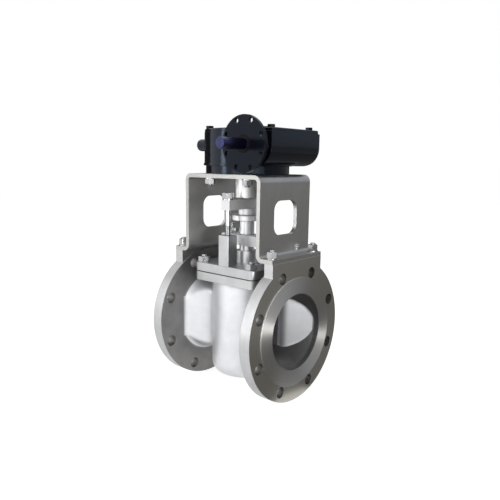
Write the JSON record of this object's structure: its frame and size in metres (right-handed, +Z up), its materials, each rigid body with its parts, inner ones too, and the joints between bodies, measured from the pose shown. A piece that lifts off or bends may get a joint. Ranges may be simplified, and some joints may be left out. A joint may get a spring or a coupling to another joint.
{
  "type": "gear-operated plug valve",
  "caption": "Flanged plug valve with a short body, bolted bonnet and gland, bridge bar, window bracket and a worm gearbox with a drilled input disc.",
  "frame": {"origin": "centre of the inlet flange's bolt circle, on the machined face that its bolt holes open through", "axes": "+X along the flow from inlet to outlet, +Z up along the stem, -Y towards the gearbox's input shaft"},
  "size_m": [0.267, 0.2977, 0.5507],
  "materials": {
    "cast_stainless": "bead-blasted stainless casting with machined flange faces",
    "cast_bonnet": "bead-blasted stainless with machined edges",
    "plug_steel": "ground stainless",
    "sleeve_plastic": "moulded fluoropolymer",
    "graphite": "pressed graphite",
    "machined_stainless": "machined stainless",
    "bearing_bronze": "machined bronze",
    "bracket_plate": "bead-blasted bent stainless plate",
    "stainless_fasteners": "polished stainless fasteners",
    "black_gearbox_paint": "semi-gloss black paint on cast iron",
    "gearbox_screws": "blackened and plain steel screws",
    "shaft_steel": "ground shaft steel",
    "key_steel": "drawn key steel",
    "seal_rubber": "moulded nitrile rubber",
    "indicator_plastic": "moulded yellow cap"
  },
  "bodies": {
    "valve_frame": {"valve_body": "cast_stainless", "bonnet": "cast_bonnet", "plug_sleeve": "sleeve_plastic", "diaphragm": "sleeve_plastic", "bonnet_gasket": "graphite", "packing_rings": "graphite", "gland_follower": "machined_stainless", "gland_flange": "machined_stainless", "bridge_bar": "machined_stainless", "thrust_washer": "bearing_bronze", "bracket": "bracket_plate", "gland_studs": "stainless_fasteners", "gland_nuts": "stainless_fasteners", "yoke_studs": "stainless_fasteners", "yoke_washers": "stainless_fasteners", "yoke_nuts": "stainless_fasteners", "bonnet_studs": "stainless_fasteners", "bonnet_nuts": "stainless_fasteners", "foot_studs": "stainless_fasteners", "foot_washers": "stainless_fasteners", "foot_nuts": "stainless_fasteners", "gearbox_studs": "stainless_fasteners", "gearbox_washers": "stainless_fasteners", "gearbox_nuts": "stainless_fasteners", "gearbox_base": "black_gearbox_paint", "gearbox_housing": "black_gearbox_paint", "gearbox_cover": "black_gearbox_paint", "worm_end_cap": "black_gearbox_paint", "input_adapter": "black_gearbox_paint", "cover_bolts": "black_gearbox_paint", "stop_caps": "black_gearbox_paint", "vent_plug": "black_gearbox_paint", "base_screws": "gearbox_screws", "end_cap_screws": "gearbox_screws", "adapter_screws": "gearbox_screws", "stop_screws": "gearbox_screws", "worm_bearings": "shaft_steel", "shaft_seal": "seal_rubber"},
    "plug_train": {"plug": "plug_steel", "thrust_collar": "machined_stainless", "collar_key": "key_steel", "coupling": "machined_stainless", "stem_key": "key_steel", "drive_key": "key_steel", "worm_wheel": "bearing_bronze", "indicator": "indicator_plastic"},
    "worm_train": {"worm_shaft": "shaft_steel"}
  },
  "joints": [
    {"name": "plug_turn", "type": "hinge", "parent": "valve_frame", "child": "plug_train", "pos_m": [0.1319, 0, 0], "axis": [0, 0, 1], "range_deg": [0, 90]},
    {"name": "worm_spin", "type": "hinge", "parent": "valve_frame", "child": "worm_train", "pos_m": [0.2059, 0, 0.359], "axis": [0, 1, 0], "range_deg": [-3600, 0]}
  ],
  "couplings": [
    {"joint": "worm_spin", "follows": "plug_turn", "ratio": -40}
  ]
}
